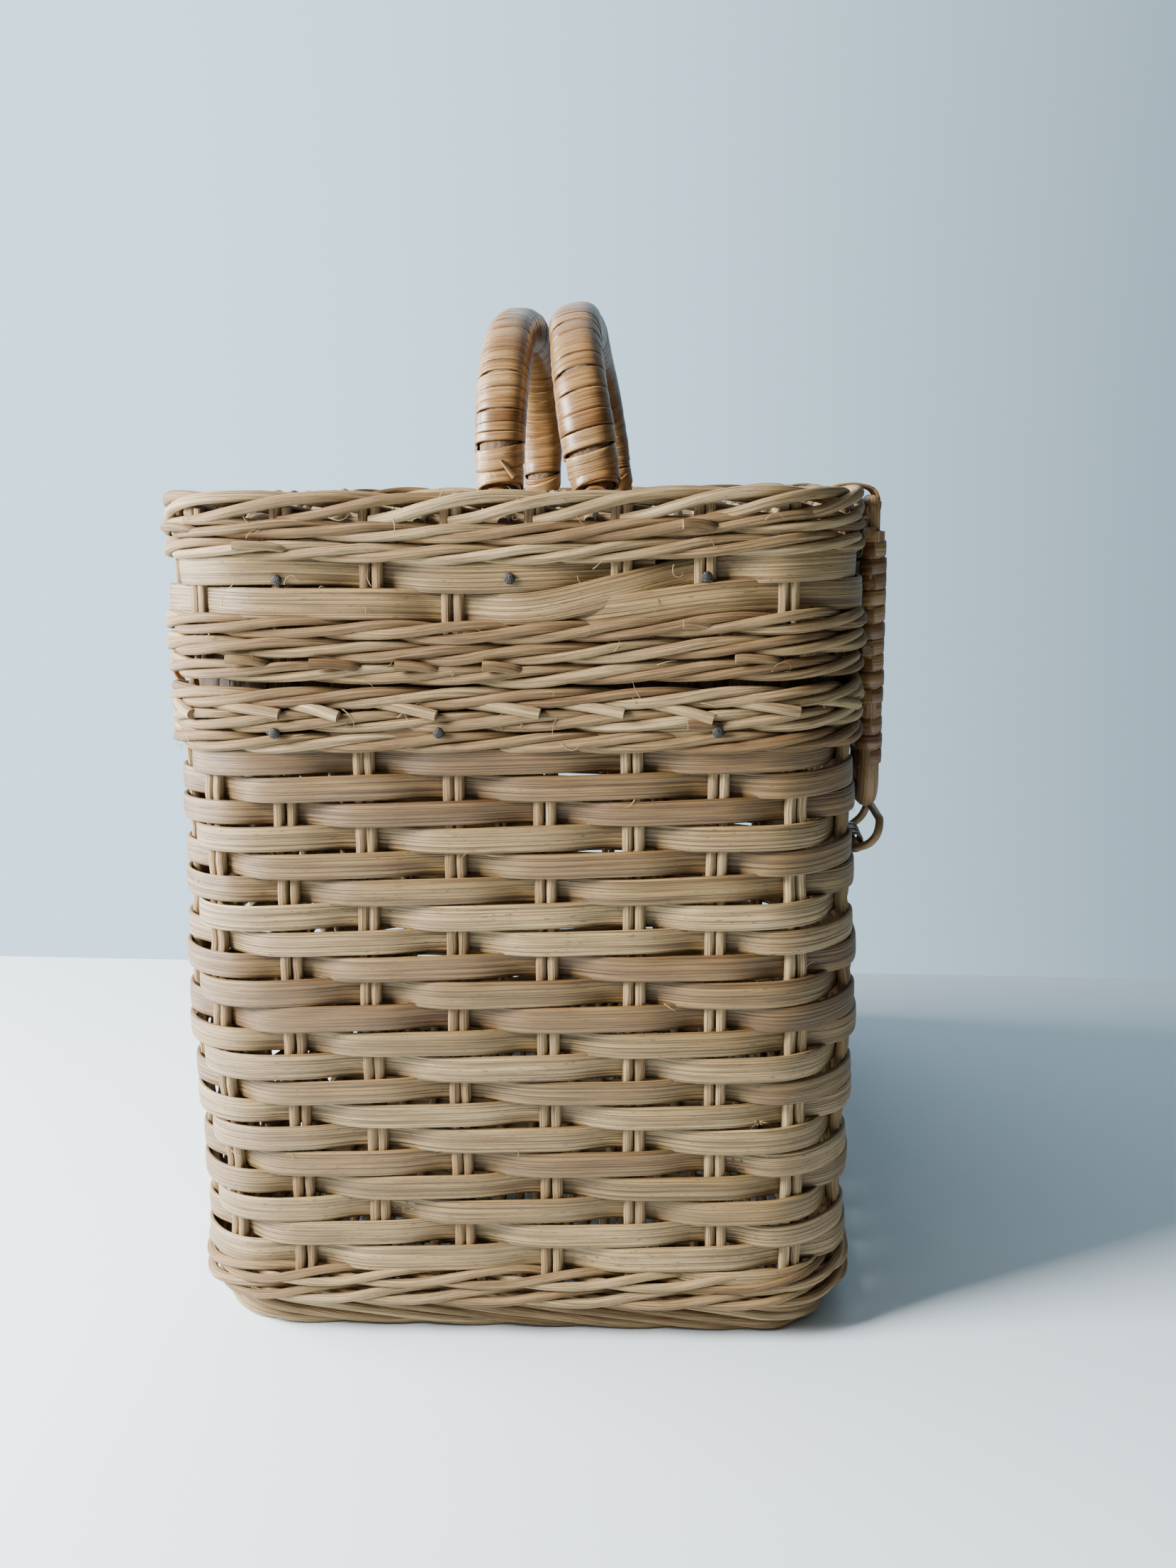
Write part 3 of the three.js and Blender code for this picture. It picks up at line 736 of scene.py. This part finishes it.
def through(points, count, closed=True):
    """A smooth curve through points, closed or open, at even steps of its parameter."""
    points = np.asarray(points, float)
    if closed:
        points = np.concatenate([points[-2:], points, points[:3]])
    at = distances(points)
    x = np.linspace(at[2], at[-3], count) if closed else np.linspace(0, at[-1], count)
    return np.stack([smooth(at, points[:, i], x) for i in range(points.shape[1])], -1)


def read(q, at, points):
    """Points known at the distances at, read at the distances q."""
    return np.stack([np.interp(q, at, points[:, i]) for i in range(3)], -1)


def ring_of(half_a, half_b, radius, count=28):
    """Points round a closed ring with rounded corners."""
    length = 4 * (half_a + half_b - 2 * radius) + 2 * math.pi * radius
    return rounded(np.linspace(0, length, count + 1), half_a, half_b, radius)[0]


def coil(strands, loop, centre, axes, turns, pitch, width, thick=0.7, tones=(1, 8), loose=0.12, split=3):
    """Winds a strip round a closed loop of (a, b) points, stepping along the third of the axes. One strand
    has up to split turns."""
    a, b, shift = axes
    n = len(loop) - 1
    tangent = np.gradient(np.concatenate([loop[-2:-1], loop, loop[1:2]]), axis=0)[1:-1]
    out2 = np.stack([tangent[:, 1], -tangent[:, 0]], -1)
    out2 /= np.linalg.norm(out2, axis=1, keepdims=True)
    done = 0
    while done < turns:
        count = min(int(rng.integers(1, split + 1)), turns - done)
        index = np.arange(count * n + 1) % n
        at = done + np.arange(count * n + 1) / n
        lift = wander(at, loose, 0.5) + rng.uniform(-loose, loose)
        p2, o2 = loop[index] + out2[index] * lift[:, None], out2[index]
        path = (centre + p2[:, :1] * a + p2[:, 1:] * b
                + ((at - turns / 2) * pitch + wander(at, 0.08 * pitch, 0.4))[:, None] * shift)
        strands.add(path, o2[:, :1] * a + o2[:, 1:] * b,
                    flat_section(width * rng.uniform(0.93, 1.04), thick, 8), code(None, *tones))
        done += count
    return strands


# ---------------------------------------------------------------- handles

HALF_ARCH = [(91, 0), (83, 0), (77.5, 1.4), (75, 6), (75.2, 15), (70, 31.5), (52.5, 46.5), (28, 53.3)]
ARCH = [(-x, h) for x, h in HALF_ARCH] + [(0, 55)] + [(x, h) for x, h in reversed(HALF_ARCH)]
LEAN = {"front": math.radians(8.9), "back": math.radians(-1.7)}
GRIP = {"front": 7.75, "back": 7.3}  # half the width of the bound handle
TALL = {"front": 1.0, "back": 0.97}
BOUND = 0.064  # where the winding starts, as a part of the arch
SQUARE, FLAT = 2.7, 0.93  # how square the section is, and its height to its width
PEEL = 0.8  # thickness


def handle(side):
    pivot = JOINTS[f"handle_{side}_pivot"]
    rise = Z * math.cos(LEAN[side]) + Y * math.sin(LEAN[side])
    across = np.cross(rise, X)

    def arch(count):
        flat = through(ARCH, count, closed=False)
        return flat, pivot + flat[:, :1] * X + flat[:, 1:] * TALL[side] * rise

    _, curve = arch(401)
    step = distances(curve)
    tangent = np.gradient(curve, step, axis=0)
    start, end = BOUND * step[-1], (1 - BOUND) * step[-1]

    def at(q, angle, swell):
        """Points on the grip at distance q and angle, and the outward directions."""
        up = np.cross(unit(read(q, step, tangent)), across)
        foot = np.minimum(q - start, end - q)
        size = 0.78 + 0.22 * np.clip(foot / 14, 0, 1) ** 0.5 + 0.02 * np.sin(q / 9.0 + pivot[1])
        ca, sa = np.cos(angle), np.sin(angle)
        square = (np.abs(ca) ** SQUARE + np.abs(sa / FLAT) ** SQUARE) ** (1 / SQUARE)
        out = across * ca[..., None] + up * sa[..., None]
        return read(q, step, curve) + out * (GRIP[side] * size / square + swell)[..., None], out

    # A dark filler round the rod under the winding, in the very dark finish: painted shade seen through the
    # winding's slits.
    inner = Strands()
    q = np.linspace(start + 0.5, end - 0.5, 120)
    path, out = at(q, np.zeros_like(q), 0.0)
    size = np.linalg.norm(path - read(q, step, curve), axis=1)
    inner.add(path - out * size[:, None], across, oval(2, 1.86, 20, 0.85), code(2), taper=size - 0.75)
    inner.make(f"handle_shade_pad_{side}", shaded_inner_cane, "peel_cane", f"handle_{side}")

    grip = Strands()
    q, turn = start, 0.0
    while q < end - 1.0:
        width = float(rng.choice([2.4, 3.4, 4.6, 5.8], p=[0.3, 0.3, 0.25, 0.15]))
        turns = int(rng.integers(1, 3))
        n = np.linspace(0, turns, turns * 26 + 1)
        advance = q + width * n
        swell = wander(n, 0.03, 0.45) + rng.uniform(-0.06, 0.04) - 0.25
        path, out = at(np.clip(advance, start, end), 2 * np.pi * (turn + n), swell)
        slope = rng.normal(0, 0.03) * read(np.clip(advance, start, end), step, tangent)
        grip.add(path, out + slope, oval(width * rng.uniform(1.04, 1.12), PEEL, 10, 0.3), code(None, 2, 8))
        q += width * turns
        turn += turns
    for q, sense in ((start + 2.4, 1), (end - 2.4, -1)):
        n = np.linspace(-0.06, 1.06, 30)
        path, out = at(q + sense * 1.8 * np.sin(2 * np.pi * n), 2 * np.pi * n + 1.2, 0.1 + 0 * n)
        grip.add(path, out, oval(5.4, PEEL, 10, 0.3), code(None, 3, 8))
    if side == "back":  # the loose tip of the peel, a straight sliver
        tip_at, tip_turn, tip_off = (np.array(pair) for pair in ((9.5, -1.0), (0.15, 0.62), (0.9, 2.8)))
        ends, out = at(start + tip_at, np.pi / 2 + tip_turn, tip_off)
        path = ends[0] + np.linspace(0, 1, 8)[:, None] * (ends[1] - ends[0])
        grip.add(path, out[1], flat_section(2.2, 1.0, 8), code(7), taper=np.linspace(0.5, 1.0, 8))
    grip.make(f"handle_winding_{side}", peel_cane, "peel_cane", f"handle_{side}", [f"handle_wrap_{side}"])

    core = Strands()
    flat, whole = arch(140)
    trunnion = np.clip((np.abs(flat[:, 0]) - 77) / 3, 0, 1)
    from_end = np.minimum(np.arange(140), np.arange(140)[::-1])
    taper = (1 - 0.25 * np.clip((3 - from_end) / 3, 0, 1)) * (1 - 0.2 * trunnion)
    core.add(whole, across, oval(6.3, 6.3, 14), code(6), taper=taper)
    core.make(f"handle_rod_{side}", rattan, "rattan", f"handle_{side}", [f"handle_core_{side}"])

    middle, half = middle_and_half(f"handle_bar_{side}")
    x = np.linspace(middle[0] - half[0], middle[0] + half[0], 40)
    path = np.stack([x, middle[1] + wander(x, 0.1, 40), middle[2] + wander(x, 0.1, 40)], -1)
    bar = Strands()
    bar.add(path, Z, oval(6.2, 6.2, 14), code(4))
    bar.make(f"lid_bar_{side}", rattan, "rattan", "lid", [f"handle_bar_{side}"])
    for end_name in ("left", "right"):
        node = f"handle_lashing_{side}_{end_name}"
        middle, half = middle_and_half(node)
        tie = coil(Strands(), ring_of(half[1] - 1.5, half[2] - 1.4, 3.0), middle - 0.6 * Z, YZX, 3, 2.0, 1.95)
        tie.make(f"handle_tie_{side}_{end_name}", peel_cane, "peel_cane", "lid", [node])


for side in ("front", "back"):
    handle(side)

# ---------------------------------------------------------------- hasps and keepers


def rod_ring(loop, centre, a, b, radius, tone, sides=12):
    """A cane bent to a closed ring of (a, b) points."""
    path = centre + loop[:, :1] * a + loop[:, 1:] * b
    strands = Strands()
    strands.add(path, np.cross(a, b), oval(2 * radius, 2 * radius, sides), code(tone), caps=False)
    return strands


STRAP = [(-6.6, 0.2), (-6.1, -2.9), (-3.4, -4.3), (0.5, -4.3), (4.6, -4.2), (7.2, -2.2), (7.5, 1.2),
         (6.4, 3.9), (2.8, 4.7), (-1.8, 4.5), (-5.2, 3.3)]
INSET = 3.1  # from the edge of a hasp to the middle of its outer rod
BARE_TIP = 14  # how far the binding stops above the tip


def hasp(side):
    body = f"hasp_{side}"
    middle, half = middle_and_half(f"hasp_wrap_{side}")
    bottom, head = span(f"hasp_wrap_{side}", 2)
    _, axis_y, top = JOINTS[f"hasp_{side}_pivot"]
    ring_mid = (top + bottom + 5.5) / 2
    ring = ring_of(9, (top - bottom - 5.5) / 2, 2.5, 90)
    rod_ring(ring, np.array([middle[0], axis_y, ring_mid]), X, Z, 1.7, 5).make(
        f"hasp_ring_{side}", rattan, "rattan", body, [f"hasp_core_{side}"])

    tongue = Strands()
    widest = half[0] - INSET
    for reach, radius, tone in ((widest, 3.0, 5), (widest - 6.1, 3.05, 7)):
        floor_z = bottom + INSET + (widest - reach)
        corner = min(reach - 0.4, 6.0)
        arc = np.linspace(0, np.pi / 2, 7)
        right = [(reach, z) for z in np.linspace(head - 1, floor_z + corner, 12)[:-1]]
        right += [(reach + corner * (math.cos(t) - 1), floor_z + corner * (1 - math.sin(t))) for t in arc]
        points = through(right + [(-x, z) for x, z in reversed(right)], 90, closed=False)
        path = np.stack([middle[0] + points[:, 0], np.full(90, axis_y), points[:, 1]], -1)
        tongue.add(path, Y, oval(2 * radius, 2 * radius, 12), code(tone))
    z = np.linspace(bottom + 9, head - 1, 20)
    tongue.add(np.stack([middle[0] + 0 * z, axis_y + 0 * z, z], -1), Y, oval(4.4, 5.4, 12), code(6))
    tongue.make(f"hasp_tongue_{side}", rattan, "rattan", body)

    binding = Strands()
    wrap_low = bottom + BARE_TIP
    pitch = 4.55
    turns = int((head - wrap_low) / pitch)
    loop = ring_of(half[0] - 0.3, half[1] - 0.35, 3.2, 32)
    centre = np.array([middle[0], axis_y, (head + wrap_low) / 2])
    coil(binding, loop, centre, (X, Y, Z), turns, pitch, 4.4, 0.75, tones=(0, 7), loose=0.14, split=2)
    binding.make(f"hasp_winding_{side}", peel_cane, "peel_cane", body, [f"hasp_wrap_{side}"])

    node = f"hasp_lashing_{side}"
    centre = middle_and_half(node)[0]
    strap = coil(Strands(), through(STRAP, 33), centre, YZX, 3, 3.1, 3.0, 0.75, tones=(2, 7))
    strap.make(f"hasp_strap_{side}", peel_cane, "peel_cane", "lid", [node])


def keeper(side):
    axis = JOINTS[f"keeper_{side}_pivot"]
    x = middle_and_half(f"keeper_{side}")[0][0]
    angle = math.radians(52)  # above level
    reach = 10.6
    away = -Y * math.cos(angle) + Z * math.sin(angle)
    loop = ring_of(15.2, reach / 2, 4.2, 100)
    bow = 1.7 * np.cos(np.pi * loop[:, 1] / reach)[:, None] * np.cross(X, away)
    ring = rod_ring(loop, np.array([x, *axis[1:]]) + away * reach / 2 + bow, X, away, 1.2, 8, 10)
    ring.make(f"keeper_cane_{side}", rattan, "rattan", f"keeper_loop_{side}", [f"keeper_{side}"])
    node = f"keeper_sleeve_{side}"
    middle, half = middle_and_half(node)
    tie = coil(Strands(), ring_of(half[1] - 0.35, half[2] - 0.35, 2.5), middle, YZX, 5, 2.75, 2.7)
    tie.make(f"keeper_tie_{side}", peel_cane, "peel_cane", "basket", [node])


# ---------------------------------------------------------------- hinges

BODY_EYE = [(-11.6, -0.9), (-11.7, -5.0), (-11.2, -8.4), (-7.0, -9.2), (-3.0, -8.8), (-0.6, -6.0),
            (1.6, -3.0), (2.6, 0.2), (1.4, 2.4), (-1.0, 2.5), (-2.6, 1.0), (-4.2, -0.5), (-8.0, -0.7)]


def hinge(side):
    axis = JOINTS["lid_hinge"]

    def eye_tie(name, node, body, loop, turns, pitch):
        centre = np.array([middle_and_half(node)[0][0], *axis[1:]])
        tie = coil(Strands(), through(loop, 41), centre, YZX, turns, pitch, pitch - 0.05, tones=(0, 5))
        tie.make(name, peel_cane, "peel_cane", body, [node])

    for end in ("outer", "inner"):
        name = f"hinge_body_tie_{side}_{end}"
        eye_tie(name, f"hinge_body_loop_{side}_{end}", "basket", BODY_EYE, 3, 1.75)
    lid_eye = [(a, -b) for a, b in reversed(BODY_EYE)]
    eye_tie(f"hinge_lid_tie_{side}", f"hinge_lid_loop_{side}", "lid", lid_eye, 4, 2.1)
    x = np.linspace(*span(f"hinge_pin_{side}", 0), 14)
    taper = np.ones(14)
    taper[[0, -1]] = 0.7
    pin = Strands()
    path = np.stack([x, 0 * x + axis[1], 0 * x + axis[2]], -1)
    pin.add(path, Z, oval(2.75, 2.75, 12), code(3), taper=taper)
    pin.make(f"hinge_cane_{side}", rattan, "rattan", "basket", [f"hinge_pin_{side}"])


for side in ("left", "right"):
    hasp(side)
    keeper(side)
    hinge(side)

# ---------------------------------------------------------------- nails

NAIL = [(6, 0.6), (1.2, 0.6), (0.95, 1.42), (0.6, 1.5), (0.35, 1.36), (0.15, 1.0), (0.04, 0.45), (0, 0.1)]


def nails(body, prefix):
    """Round-headed nails. NAIL: (depth under the top, radius)."""
    names = sorted(n for n in frame["nodes"] if n.startswith(prefix))
    strands = Strands()
    for name in names:
        middle, half = middle_and_half(name)
        axis = int(np.argmax(half))
        drive = np.eye(3)[axis] * np.sign(middle[axis] - (CENTRE_Y if axis else 0))
        tip = middle + drive * half[axis]
        depth, radius = np.array([(2 * half[axis], 0.1)] + NAIL).T
        head = oval(2, 2, 14) * (1 + rng.normal(0, 0.03, (14, 1)))
        strands.add(tip - depth[:, None] * drive, Z, head, code(5), taper=radius, caps=False)
    strands.make(prefix + "s", blued_steel, "steel", body, names)


nails("basket", "body_nail")
nails("lid", "lid_nail")

# ---------------------------------------------------------------- loose fibres


def fibres(body, name, count, z_range, u_range, long=(3, 9)):
    """Fine curling hairs of cane that stand off the strands."""
    strands = Strands()
    t = np.linspace(0, 1, 12)
    for _ in range(count):
        s, z, u = rng.uniform(0, LOOP), rng.uniform(*z_range), rng.uniform(*u_range)
        length, lift = rng.uniform(*long), rng.uniform(0.08, 0.45)
        heading = rng.uniform(0, 2 * np.pi) + np.cumsum(t * rng.normal(0, 0.55))
        ds, dz = (np.cumsum(turn(heading)) * length / 12 for turn in (np.cos, np.sin))
        path, out = rim(s + ds, u + length * lift * t * (1 - 0.4 * t), z + dz)
        strands.add(path, out, oval(0.30, 0.2, 5), code(None, 7, 9), taper=1 - 0.75 * t)
    strands.make(name, round_cane, "round_cane", body)


def frays(body, name, spots):
    """Tufts of short splinters round broken knots. spots: (place along the outline, u, z)."""
    strands = Strands()
    t = np.linspace(0, 1, 5)
    for s, u, z in spots:
        for angle in rng.uniform(0, 2 * np.pi, 14):
            reach, lift = rng.uniform(0.5, 2.4), rng.uniform(0.1, 1.3)
            path, out = rim(s + reach * np.cos(angle) * t, u + lift * np.sin(2 * t),
                            z + 0.8 * reach * np.sin(angle) * t)
            strands.add(path, out, oval(0.5, 0.28, 5), code(None, 2, 9), taper=1 - 0.8 * t)
    strands.make(name, round_cane, "round_cane", body)


frays("lid", "lid_knots", [(lid_place(k + rng.uniform(0.2, 0.8)), 2.2, rng.uniform(*Z_LID_WEAVE))
                           for k in (0, 9, 16, 24, 33)])
frays("basket", "wall_knots", [(place(k) + rng.uniform(6, 15), 2.6 + bulge(z), z) for k, z in
                               zip(strays(14), rng.uniform(Z_WALL[0] + 6, Z_WALL[1] - 6, 14))])
fibres("basket", "body_fibres", 90, (Z_UPPER[0], Z_BORDER[1] - 1), (3.5, 5.0))
fibres("basket", "wall_fibres", 90, (Z_WALL[0], Z_WALL[1]), (2.4, 4.0), long=(2, 6))
fibres("lid", "lid_fibres", 120, (Z_LID_BORDER[0] + 2, Z_LID_TOP[0]), (3.3, 4.8))
fibres("lid", "lid_rim_fibres", 40, (Z_LID_TOP[0] + 2, Z_LID_TOP[1] - 2), (1.5, 3.5))

# ---------------------------------------------------------------- floor, light and camera

floor_mesh = bpy.data.meshes.new("floor")
FAR_EDGE = 0.197  # the table ends a little behind the basket
corners = [(-2.6, -2.4, 0), (FAR_EDGE - 0.1, -2.4, 0), (FAR_EDGE + 0.1, 2.4, 0), (-2.6, 2.4, 0)]
floor_mesh.from_pydata(corners, [], [(0, 1, 2, 3)])
floor = bpy.data.objects.new("floor", floor_mesh)
bpy.context.scene.collection.objects.link(floor)
table, _ = mottled("table", 3.0, [(0.3, (0.68, 0.78, 0.86)), (0.7, (0.72, 0.82, 0.89))])
floor.data.materials.append(table.fix(Roughness=0.55, Specular_IOR_Level=0.3).material)

world = bpy.context.scene.world or bpy.data.worlds.new("air")
bpy.context.scene.world = world
world.use_nodes = True
nodes, links = world.node_tree.nodes, world.node_tree.links
backdrop = nodes["Background"]
direction = nodes.new("ShaderNodeTexCoord")
along = nodes.new("ShaderNodeSeparateXYZ")
links.new(direction.outputs["Generated"], along.inputs[0])


def fade(axis, start, end, low, high):
    """A brightness that follows one axis of the direction in the room."""
    node = nodes.new("ShaderNodeMapRange")
    node.interpolation_type = "SMOOTHSTEP"
    for i, value in ((1, start), (2, end), (3, low), (4, high)):
        node.inputs[i].default_value = value
    links.new(along.outputs[axis], node.inputs[0])
    return node.outputs[0]


toward_window = fade(1, -0.55, 0.4, 0.22, 1.0)
toward_wall = fade(0, -0.1, 0.75, 0.0, 1.0)
tint = nodes.new("ShaderNodeValToRGB")  # a warm dim room behind the camera, a bright cool wall ahead
for element, color in zip(tint.color_ramp.elements, ((0.31, 0.30, 0.28, 1), (1.26, 1.76, 2.10, 1))):
    element.color = color
links.new(toward_wall, tint.inputs[0])
links.new(tint.outputs[0], backdrop.inputs[0])
links.new(toward_window, backdrop.inputs[1])


def lamp(name, place_at, aim, size, power, color):
    """A soft rectangular light that faces a point."""
    data = bpy.data.lights.new(name, "AREA")
    data.shape, data.size, data.size_y = "RECTANGLE", *size
    data.energy, data.color = power, color
    obj = bpy.data.objects.new(name, data)
    bpy.context.scene.collection.objects.link(obj)
    toward = np.array(aim, float) - np.array(place_at, float)
    toward /= np.linalg.norm(toward)
    across = np.cross(toward, Z)
    across /= np.linalg.norm(across)
    turn = np.stack([across, np.cross(across, toward), -toward], 1)
    obj.matrix_world = Matrix.Translation(place_at) @ Matrix(turn.tolist()).to_4x4()


MIDDLE = (0.0, CENTRE_Y / 1000, 0.13)
lamp("window", (-0.38, 0.66, 0.53), MIDDLE, (0.34, 0.34), 34, (1.0, 0.98, 0.95))
lamp("side", (0.10, 1.10, 0.40), MIDDLE, (0.5, 0.6), 30, (1.0, 0.985, 0.96))

YAW, PITCH, ROLL = math.radians(3.17), math.radians(11.16), math.radians(-0.60)
EYE = (-0.5267, -0.0419, 0.2360)
ahead = np.array([math.cos(YAW) * math.cos(PITCH), math.sin(YAW) * math.cos(PITCH), -math.sin(PITCH)])
right = np.array([math.sin(YAW), -math.cos(YAW), 0.0])
above = np.cross(right, ahead)
cos_roll, sin_roll = math.cos(ROLL), math.sin(ROLL)
right, above = cos_roll * right + sin_roll * above, cos_roll * above - sin_roll * right
camera_data = bpy.data.cameras.new("camera")
camera_data.lens = 34.990958
camera_data.clip_start, camera_data.clip_end = 0.02, 20
camera = bpy.data.objects.new("camera", camera_data)
bpy.context.scene.collection.objects.link(camera)
turn = Matrix(np.stack([right, above, -ahead], 1).tolist())
camera.matrix_world = Matrix.Translation(EYE) @ turn.to_4x4()
bpy.context.scene.camera = camera
